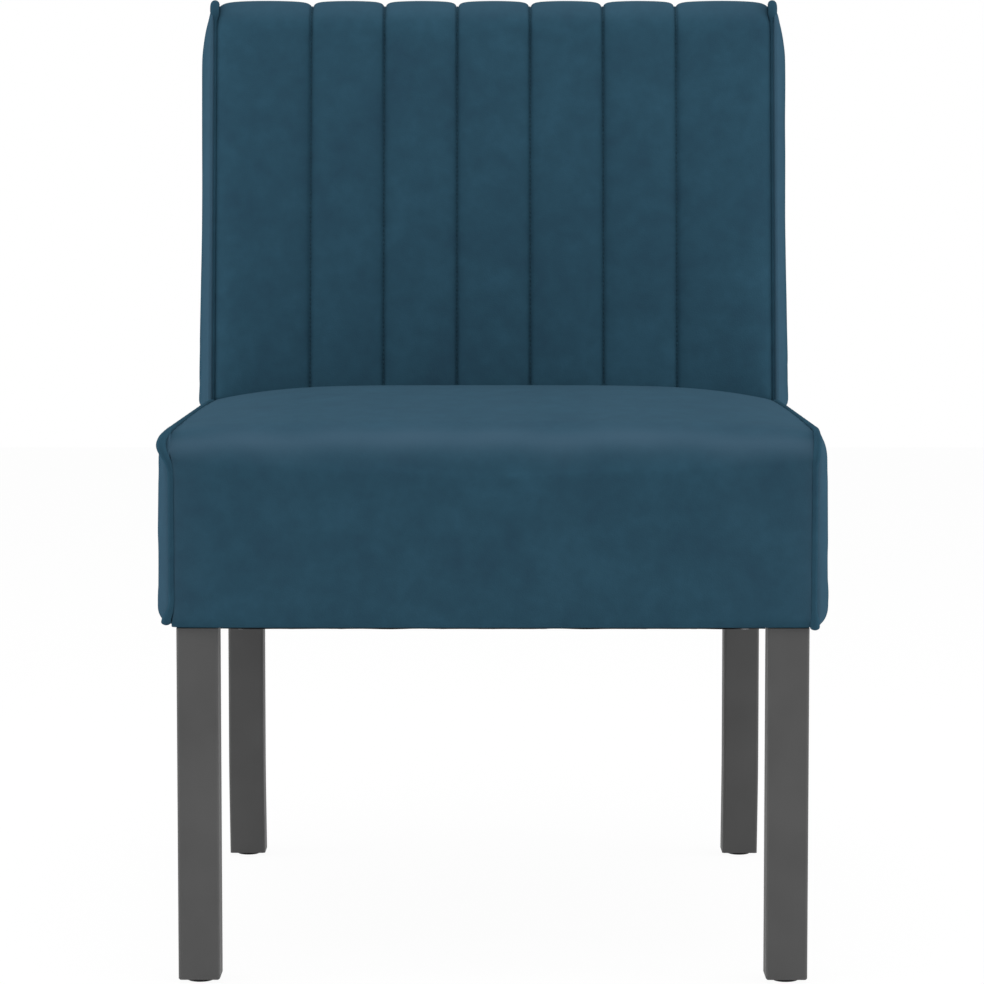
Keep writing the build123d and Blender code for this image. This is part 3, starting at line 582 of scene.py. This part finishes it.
# %% Piping
def piping(name, x, line, distance, radius, ears=()):
    """Round profile of 12 points carried along a path in the plane x, or x given along the path; near an ear
    (spot, width, lift, thicken, push) a bell curve lifts and pushes the fold outward and a flatter one, with
    the fourth power, thickens it. Both ends are rounded off."""
    tip, spacing = np.array([0, 0.3, 0.8, 1.6]), 2.5
    body = np.linspace(radius, distance[-1] - radius, int(distance[-1] / spacing))
    places = np.concatenate([tip, body, distance[-1] - tip[::-1]])
    centre, left = path_at(line, distance, places)
    across = np.interp(places, distance, x) if np.ndim(x) else np.full_like(places, x)
    ends = np.maximum(quarter(np.minimum(places, places[-1] - places), radius), 0.15)
    size = radius * ends * (1 + 0.03 * waves(places, (17, 29, 37), (0.2, 1.1, 3.0)))
    for spot, width, lift, thicken, push in ears:
        bell = np.exp(-((places - spot) / width) ** 2)
        centre = centre + left * (lift * bell)[:, None]
        size = size * (1 + thicken * np.exp(-((places - spot) / (1.2 * width)) ** 4))
        across = across + np.sign(across) * push * bell
    turn = np.linspace(0, 2 * np.pi, 12, endpoint=False)
    wide = across[:, None] + size[:, None] * np.cos(turn)
    around = centre[:, None] + left[:, None] * (size[:, None] * np.sin(turn))[..., None]
    return tube(name, np.concatenate([wide[..., None], around], axis=-1))


def nearest(line, distance, y, z):
    """Distance along a path of the point closest to (y, z)."""
    return float(distance[np.argmin(np.hypot(line[:, 0] - y, line[:, 1] - z))])


# %% Piping of the back and the seat
# The seat's two front corners aren't sewn alike: these values are for the left (-1) and the right (1).
seat_hem, hem_push = {-1: low_z + 3.0, 1: low_z - 1.0}, {-1: 4.5, 1: 0.6}
fold_push, fold_thick = {-1: 6.5, 1: 0.8}, {-1: 0.5, 1: 0.2}
seat_cord, back_cord = 2.6, 2.8
cord_front, cord_rear, cord_top, cord_deck = front_y + 4.2, rear_y - 0.8, seam_z - 1, 434.2
back_low, back_top, sunk_in = 438.5, top_z - 6.6, 9.2
back_seam, back_run = rounded(
    [(front_line(back_low, sunk_in), back_low), (front_line(back_top, sunk_in), back_top),
     (rear_line(back_top, sunk_in), back_top), (rear_line(back_low, sunk_in), back_low)], (9, 9))
ear = (nearest(back_seam, back_run, front_line(back_top, sunk_in), back_top), 7.5, 3.8, 0.5, 0.2)
for side, sign in (("left", -1), ("right", 1)):
    seat_seam, seat_run = rounded(
        [(cord_front, seat_hem[sign]), (cord_front, cord_top), (heel_y, cord_top), (deck_y, cord_deck),
         (cord_rear, cord_deck), (cord_rear, low_z + 2.2)], (21, 33, 33, 6))
    seat_cord_x = sign * (253.6 + 2.0 * top_part(seat_seam[:, 0], seat_seam[:, 1]))
    fold_spot = nearest(seat_seam, seat_run, front_y + 5.5, seam_z - 12)
    folds = [(fold_spot, 12, 1.0, fold_thick[sign], fold_push[sign]), (2, 9, 0, 0.5, hem_push[sign])]
    cord = piping(f"seat_piping_cord_{side}", seat_cord_x, seat_seam, seat_run, seat_cord, folds)
    dress(cord, velvet, "velvet", f"seat_piping_{side}")
    cord = piping(f"back_piping_cord_{side}", sign * 255.6, back_seam, back_run, back_cord, [ear])
    dress(cord, velvet, "velvet", f"back_piping_{side}")
print("piping", round(seat_run[-1]), "mm on the seat and", round(back_run[-1]), "mm on the back, each side")

# %% [markdown]
# Each channel seam is a line of lockstitch in matching polyester thread, sunk between two channels. One
# stitch is a short rod pressed down at both ends, where the needle went through; the same small shape
# repeats all along the six seams.

# %% Stitches
def scatter(name, shape, faces, origins, axes):
    """Copies of one small shape, (m, 3) points, set at origins (k, 3) in frames axes (k, 3, 3)."""
    points = origins[:, None] + np.einsum("mi,kij->kmj", shape, axes)
    shift = (np.arange(len(origins)) * len(shape))[:, None, None]
    return put_mesh(name, points, (np.asarray(faces)[None] + shift).reshape(-1, 4).tolist())


def rod(length, thick, dip, rings=4, sides=6):
    """Rod along its first axis: round, thinning and dipping towards both ends, each ring a scaled circle."""
    t, turn = np.linspace(-1, 1, rings)[:, None], np.linspace(0, 2 * np.pi, sides, endpoint=False)[None, :]
    size = thick * np.sqrt(1 - 0.8 * t ** 4)
    along, across = length / 2 * t + 0 * turn, size * np.cos(turn) - dip * t ** 2
    shape = np.stack([along, across, size * np.sin(turn)], axis=-1)
    caps = [[0, 1, 2, 3], [0, 3, 4, 5]]
    last = (np.array(caps) + (rings - 1) * sides).tolist()
    return shape.reshape(-1, 3), ring_faces(rings, sides).tolist() + caps + last


# %% Thread and rows of stitches
stitch_step, stitch_sunk = 4.2, 0.5
stitch_places = np.arange(4.0, over_run[-1] - 3, stitch_step)
stitch_spots, stitch_up = path_at(over, over_run, stitch_places)
sewn = seams[1:-1]
seam_x = np.repeat(sewn, len(stitch_places))
origins = np.column_stack([seam_x, np.tile(stitch_spots - stitch_sunk * stitch_up, (len(sewn), 1))])
up = np.column_stack([0 * seam_x, np.tile(stitch_up, (len(sewn), 1))])
forward = np.column_stack([0 * seam_x, up[:, 2], -up[:, 1]])
aside = np.cross(forward, up)
thread, tree = new_material("polyester_thread_petrol")
where = add(tree, "ShaderNodeTexCoord")
twist = add(tree, "ShaderNodeTexWave", {"Vector": (where, "Object"), "Scale": per_mm(1.6), "Distortion": 1.0})
tint = add(tree, "ShaderNodeValToRGB", {"Fac": (twist, "Fac")}, stops=[(0.2, "#1a323e"), (0.8, "#223f4d")])
surface = add(tree, "ShaderNodeBsdfPrincipled",
              {"Base Color": (tint, "Color"), "Roughness": 0.7, "Specular IOR Level": 0.1})
add(tree, "ShaderNodeOutputMaterial", {"Surface": (surface, "BSDF")})
stitches = scatter("channel_stitches", *rod(3.6, 0.45, 0.5), origins, np.stack([forward, up, aside], axis=1))
dress(stitches, thread, "velvet")

# %% [markdown]
# Underneath, a black non-woven cloth is stapled to the frame to keep dust out of the seat. It is cut square
# with its corners notched round the legs, and it hangs very slightly between its staples.

# %% Dust cloth
def graded(stops, counts):
    """Places from stop to stop, each stretch divided evenly into its own count of steps."""
    parts = [np.linspace(a, b, count + 1)[:-1] for a, b, count in zip(stops, stops[1:], counts)]
    return np.concatenate([*parts, stops[-1:]])


dust_half, notch_x = 236.5, 216.0
dust_front, notch_front, notch_rear, dust_rear = -293.0, -267.5, 251.0, 273.0
dust_mid, dust_reach = (dust_rear + dust_front) / 2, (dust_rear - dust_front) / 2
dust_x = graded((-dust_half, -notch_x, notch_x, dust_half), (4, 54, 4))
dust_y = graded((dust_front, notch_front, notch_rear, dust_rear), (5, 65, 5))
gx, gy = np.meshgrid(dust_x, dust_y)
hang = (1 - (gx / dust_half) ** 2) * (1 - ((gy - dust_mid) / dust_reach) ** 2)
to_staples = np.minimum(dust_half - np.abs(gx), np.minimum(gy - dust_front, dust_rear - gy))
tug = waves(gx + gy, (38, 53, 87), (0.5, 2.2, 3.9)) * np.exp(-to_staples / 22)
dust_points = np.stack([gx, gy, low_z - 0.9 - 3.0 * hang ** 0.7 - 0.3 * (1 + tug)], axis=-1)
rows, columns = gx.shape
r, c = [part.ravel() for part in np.meshgrid(np.arange(rows - 1), np.arange(columns - 1), indexing="ij")]
mid_x, mid_y = (dust_x[c] + dust_x[c + 1]) / 2, (dust_y[r] + dust_y[r + 1]) / 2
kept = ~((np.abs(mid_x) > notch_x) & ((mid_y < notch_front) | (mid_y > notch_rear)))
this, below = r * columns + c, (r + 1) * columns + c
quads = np.stack([this, below, below + 1, this + 1], axis=-1)[kept]
used, packed = np.unique(quads, return_inverse=True)
dust = put_mesh("dust_cloth", dust_points.reshape(-1, 3)[used], packed.reshape(-1, 4).tolist())
wall = dust.modifiers.new("Wall", "SOLIDIFY")
wall.thickness, wall.offset = 0.5 * MM, 0.0
dust_cloth, tree = new_material("nonwoven_dust_cloth_black")
where = add(tree, "ShaderNodeTexCoord")
fibre = add(tree, "ShaderNodeTexNoise",
            {"Vector": (where, "Object"), "Scale": per_mm(4), "Detail": 6.0, "Roughness": 0.8})
bonds = add(tree, "ShaderNodeTexVoronoi",
            {"Vector": (where, "Object"), "Scale": per_mm(3), "Randomness": 0.15})
tint = add(tree, "ShaderNodeValToRGB", {"Fac": (fibre, "Fac")}, stops=[(0.3, "#161718"), (0.7, "#2a2b2d")])
relief = add(tree, "ShaderNodeBump", {"Height": (bonds, "Distance"), "Strength": 0.4, "Distance": 0.3 * MM})
surface = add(tree, "ShaderNodeBsdfPrincipled",
              {"Base Color": (tint, "Color"), "Roughness": 0.9, "Normal": (relief, "Normal")})
add(tree, "ShaderNodeOutputMaterial", {"Surface": (surface, "BSDF")})
dress(dust, dust_cloth, "dust_cloth", "dust_cover")

# %% [markdown]
# The rest of the chair is hard and its solids are right as they are, so they only get finishes. The legs
# are beech, sprayed with a dark grey satin lacquer: an even neutral colour, a soft highlight and a very
# slight orange-peel, with the lacquer a little thinner and paler in places.

# %% Lacquered legs
lacquer, tree = new_material("satin_lacquer_on_beech_grey")
where = add(tree, "ShaderNodeTexCoord")
grain = add(tree, "ShaderNodeMapping", {"Vector": (where, "Object"), "Scale": (1.0, 1.0, 0.08)})
pores = add(tree, "ShaderNodeTexNoise",
            {"Vector": (grain, "Vector"), "Scale": per_mm(3), "Detail": 4.0, "Roughness": 0.6})
cloud = add(tree, "ShaderNodeTexNoise", {"Vector": (where, "Object"), "Scale": per_mm(60), "Detail": 2.0})
peel = add(tree, "ShaderNodeTexNoise", {"Vector": (where, "Object"), "Scale": per_mm(2.2), "Detail": 1.0})
tint = add(tree, "ShaderNodeValToRGB", {"Fac": (cloud, "Fac")}, stops=[(0.3, "#444444"), (0.7, "#4a4a4a")])
gloss = add(tree, "ShaderNodeMapRange", {"Value": (pores, "Fac"), "To Min": 0.55, "To Max": 0.68})
both = add(tree, "ShaderNodeMath", {0: (pores, "Fac"), 1: (peel, "Fac")}, operation="ADD")
relief = add(tree, "ShaderNodeBump", {"Height": (both, "Value"), "Strength": 0.12, "Distance": 0.2 * MM})
surface = add(tree, "ShaderNodeBsdfPrincipled",
              {"Base Color": (tint, "Color"), "Roughness": (gloss, "Result"), "Specular IOR Level": 0.3,
               "Normal": (relief, "Normal")})
add(tree, "ShaderNodeOutputMaterial", {"Surface": (surface, "BSDF")})


def finish_nodes(finish, *starts):
    """Put a finish on every solid whose name begins with one of the given words."""
    chosen = [name for name in nodes if name.startswith(starts)]
    for name in chosen:
        for place in nodes[name].material_slots:
            place.material = finish
    print(finish.name, "on", len(chosen), "solids")


finish_nodes(lacquer, "front_leg_", "rear_leg_")

# %% [markdown]
# Glides are black polypropylene, moulded with a fine matt spark texture and scuffed a little by the floor.
# Bolts, nuts and washers are zinc-plated steel: bright, slightly blue, with soft blotches from the plating
# bath.

# %% Plastic glides
plastic, tree = new_material("moulded_polypropylene_black")
where = add(tree, "ShaderNodeTexCoord")
spark = add(tree, "ShaderNodeTexNoise", {"Vector": (where, "Object"), "Scale": per_mm(0.8), "Detail": 2.0})
tint = add(tree, "ShaderNodeValToRGB", {"Fac": (spark, "Fac")}, stops=[(0.3, "#0c0c0d"), (0.75, "#19191a")])
relief = add(tree, "ShaderNodeBump", {"Height": (spark, "Fac"), "Strength": 0.2, "Distance": 0.1 * MM})
surface = add(tree, "ShaderNodeBsdfPrincipled",
              {"Base Color": (tint, "Color"), "Roughness": 0.6, "Specular IOR Level": 0.15,
               "Normal": (relief, "Normal")})
add(tree, "ShaderNodeOutputMaterial", {"Surface": (surface, "BSDF")})
finish_nodes(plastic, "foot_glide_")

# %% Zinc-plated steel
zinc, tree = new_material("zinc_plated_steel")
where = add(tree, "ShaderNodeTexCoord")
bath = add(tree, "ShaderNodeTexNoise", {"Vector": (where, "Object"), "Scale": per_mm(5), "Detail": 3.0})
tint = add(tree, "ShaderNodeValToRGB", {"Fac": (bath, "Fac")}, stops=[(0.3, "#a9adb2"), (0.7, "#c6cace")])
gloss = add(tree, "ShaderNodeMapRange", {"Value": (bath, "Fac"), "To Min": 0.25, "To Max": 0.42})
surface = add(tree, "ShaderNodeBsdfPrincipled",
              {"Base Color": (tint, "Color"), "Metallic": 1.0, "Roughness": (gloss, "Result")})
add(tree, "ShaderNodeOutputMaterial", {"Surface": (surface, "BSDF")})
finish_nodes(zinc, "back_bolts", "back_washers", "back_t_nuts", "leg_hanger_bolts", "leg_insert_nuts")

# %% [markdown]
# Staples hold the dust cloth, about 4 cm apart and 7 mm inside its edge. Each is a low wire bridge whose
# ends go into the wood: the same small rod as a stitch, larger and turned along the edge it sits on.

# %% Staples
from_edge = 7.0
side_y = np.arange(-250, 240, 38.0)
end_x = np.arange(-200, 201, 40.0)
side_x = np.full_like(side_y, dust_half - from_edge)
staple_x = np.concatenate([-side_x, side_x, end_x, end_x])
staple_y = np.concatenate([side_y, side_y, np.full_like(end_x, dust_front + from_edge),
                           np.full_like(end_x, dust_rear - from_edge)])
run_y = np.concatenate([np.ones(2 * len(side_y)), np.zeros(2 * len(end_x))])
lengthwise = np.column_stack([1 - run_y, run_y, 0 * run_y])
down = np.column_stack([0 * run_y, 0 * run_y, -np.ones_like(run_y)])
frames = np.stack([lengthwise, down, np.cross(lengthwise, down)], axis=1)
origins = np.column_stack([staple_x, staple_y, 0 * run_y + low_z - 1.9])
staples = scatter("dust_cloth_staples", *rod(10.5, 0.55, 0.5, rings=6), origins, frames)
dress(staples, zinc, "zinc_steel")

# %% [markdown]
# Inside, the frame is sawn pine: pale, with brown growth lines along each board. The grain is a noise
# stretched along one axis. Rails across the chair, rails along it and upright posts have their grain along
# three different axes, so there are three copies of the finish that differ only in that stretch.

# %% Pine
cross_rails = ("seat_front_rail", "seat_rear_rail", "back_bottom_rail", "back_lumbar_rail", "back_top_rail")
with_grain = 0.06
for label, stretch, starts in (
    ("across", (with_grain, 1.0, 1.0), cross_rails),
    ("along", (1.0, with_grain, 1.0), ("seat_side_rail_",)),
    ("upright", (1.0, 1.0, with_grain), ("back_post_", "seat_corner_block_")),
):
    pine, tree = new_material(f"sawn_pine_{label}")
    where = add(tree, "ShaderNodeTexCoord")
    board = add(tree, "ShaderNodeMapping", {"Vector": (where, "Object"), "Scale": stretch})
    rings = add(tree, "ShaderNodeTexNoise",
                {"Vector": (board, "Vector"), "Scale": per_mm(9), "Detail": 5.0, "Roughness": 0.65,
                 "Distortion": 0.6})
    tint = add(tree, "ShaderNodeValToRGB", {"Fac": (rings, "Fac")},
               stops=[(0.3, "#b98d58"), (0.5, "#d3ae7a"), (0.7, "#e2c596")])
    relief = add(tree, "ShaderNodeBump", {"Height": (rings, "Fac"), "Strength": 0.3, "Distance": 0.4 * MM})
    surface = add(tree, "ShaderNodeBsdfPrincipled",
                  {"Base Color": (tint, "Color"), "Roughness": 0.75, "Normal": (relief, "Normal")})
    add(tree, "ShaderNodeOutputMaterial", {"Surface": (surface, "BSDF")})
    finish_nodes(pine, *starts)

# %% [markdown]
# The board behind the back is brown hardboard, pressed from wood fibre, which shows as a felted speckle.
# The seat and the back hang on black elastic webbing, whose rubber threads and cross yarns make a fine
# diagonal rib.

# %% Hardboard and webbing
hardboard, tree = new_material("pressed_hardboard")
where = add(tree, "ShaderNodeTexCoord")
fluff = add(tree, "ShaderNodeTexNoise",
            {"Vector": (where, "Object"), "Scale": per_mm(6), "Detail": 8.0, "Roughness": 0.75})
tint = add(tree, "ShaderNodeValToRGB", {"Fac": (fluff, "Fac")}, stops=[(0.3, "#6d4d33"), (0.7, "#8d6a4a")])
surface = add(tree, "ShaderNodeBsdfPrincipled", {"Base Color": (tint, "Color"), "Roughness": 0.7})
add(tree, "ShaderNodeOutputMaterial", {"Surface": (surface, "BSDF")})
finish_nodes(hardboard, "back_tack_board")

webbing, tree = new_material("elastic_webbing_black")
where = add(tree, "ShaderNodeTexCoord")
weave = add(tree, "ShaderNodeTexWave",
            {"Vector": (where, "Object"), "Scale": per_mm(4) / 2, "Distortion": 0.3},
            bands_direction="DIAGONAL")
tint = add(tree, "ShaderNodeValToRGB", {"Fac": (weave, "Fac")}, stops=[(0.3, "#1c1c1e"), (0.7, "#3a3a3d")])
relief = add(tree, "ShaderNodeBump", {"Height": (weave, "Fac"), "Strength": 0.5, "Distance": 0.4 * MM})
surface = add(tree, "ShaderNodeBsdfPrincipled",
              {"Base Color": (tint, "Color"), "Roughness": 0.8, "Normal": (relief, "Normal")})
add(tree, "ShaderNodeOutputMaterial", {"Surface": (surface, "BSDF")})
finish_nodes(webbing, "seat_strap_", "back_strap_")

# %% [markdown]
# The stage is a plain white studio. The floor and the world are white to the camera and to reflections;
# what falls on the chair comes from an even white surround, a large soft lamp overhead and a weaker one at
# each side. The camera stands nearly three metres in front, a little below the top of the back and tipped
# down.

# %% Floor
def seen_directly(tree):
    """Nodes whose value is 1 for the camera, for reflections and for what is seen through glass, else 0."""
    rays = add(tree, "ShaderNodeLightPath")
    seen = add(tree, "ShaderNodeMath", {0: (rays, "Is Camera Ray"), 1: (rays, "Is Glossy Ray")},
               operation="MAXIMUM")
    return add(tree, "ShaderNodeMath", {0: (seen, "Value"), 1: (rays, "Is Transmission Ray")},
               operation="MAXIMUM")


floor_half = 6000
floor_line = np.linspace(-floor_half, floor_half, 3)
floor_x, floor_y = np.meshgrid(floor_line, floor_line)
floor_faces = [[0, 1, 4, 3], [1, 2, 5, 4], [3, 4, 7, 6], [4, 5, 8, 7]]
floor = put_mesh("studio_floor", np.stack([floor_x, floor_y, 0 * floor_x], axis=-1), floor_faces)
paper, tree = new_material("white_paper_floor")
white = add(tree, "ShaderNodeMath", {0: (seen_directly(tree), "Value"), 1: 0.95}, operation="MULTIPLY")
matt = add(tree, "ShaderNodeBsdfDiffuse", {"Color": linear("#f4f4f4")})
glow = add(tree, "ShaderNodeEmission", {"Color": linear("#ffffff"), "Strength": 1.0})
mixed = add(tree, "ShaderNodeMixShader", {0: (white, "Value"), 1: (matt, "BSDF"), 2: (glow, "Emission")})
add(tree, "ShaderNodeOutputMaterial", {"Surface": (mixed, "Shader")})
floor.data.materials.append(paper)
print("floor", 2 * floor_half * MM, "m wide")

# %% World
world = bpy.data.worlds.new("studio")
world.use_nodes = True
scene.world = world
tree = world.node_tree
tree.nodes.clear()
surround = add(tree, "ShaderNodeBackground", {"Color": linear("#ffffff"), "Strength": 0.7})
backdrop = add(tree, "ShaderNodeBackground", {"Color": linear("#ffffff"), "Strength": 1.0})
mixed = add(tree, "ShaderNodeMixShader",
            {0: (seen_directly(tree), "Value"), 1: (surround, "Background"), 2: (backdrop, "Background")})
add(tree, "ShaderNodeOutputWorld", {"Surface": (mixed, "Shader")})
print("world", world.name, "has", len(tree.nodes), "nodes")

# %% Lamps and camera
def lamp(name, place, aim, size, watts):
    """Square soft lamp at place, facing aim, both in metres."""
    light = bpy.data.lights.new(name, "AREA")
    light.shape, light.size, light.energy = "SQUARE", size, watts
    holder = bpy.data.objects.new(name, light)
    holder.location = place
    way = np.array(aim) - np.array(place)
    flat = math.hypot(way[0], way[1])
    holder.rotation_euler = (math.atan2(flat, -way[2]), 0, math.atan2(way[1], way[0]) - math.pi / 2)
    scene.collection.objects.link(holder)


lamp("overhead", (0, -0.7, 3.0), (0, 0, 0.4), 2.6, 50)
lamp("left", (-2.6, -0.4, 0.8), (0, 0, 0.5), 1.8, 40)
lamp("right", (2.6, -0.4, 0.8), (0, 0, 0.5), 1.8, 44)

camera = bpy.data.objects.new("camera", bpy.data.cameras.new("camera"))
camera.location = (0.00357, -3.1659, 0.6234)
camera.rotation_euler = (math.radians(90 - 4.594), 0, 0.0015)
camera.data.sensor_width, camera.data.lens = 36.0, 133.353
scene.collection.objects.link(camera)
scene.camera = camera
scene.view_settings.view_transform = "Standard"
print("camera", [round(v, 3) for v in camera.location], "lens", camera.data.lens, "mm")

bpy.context.view_layer.update()
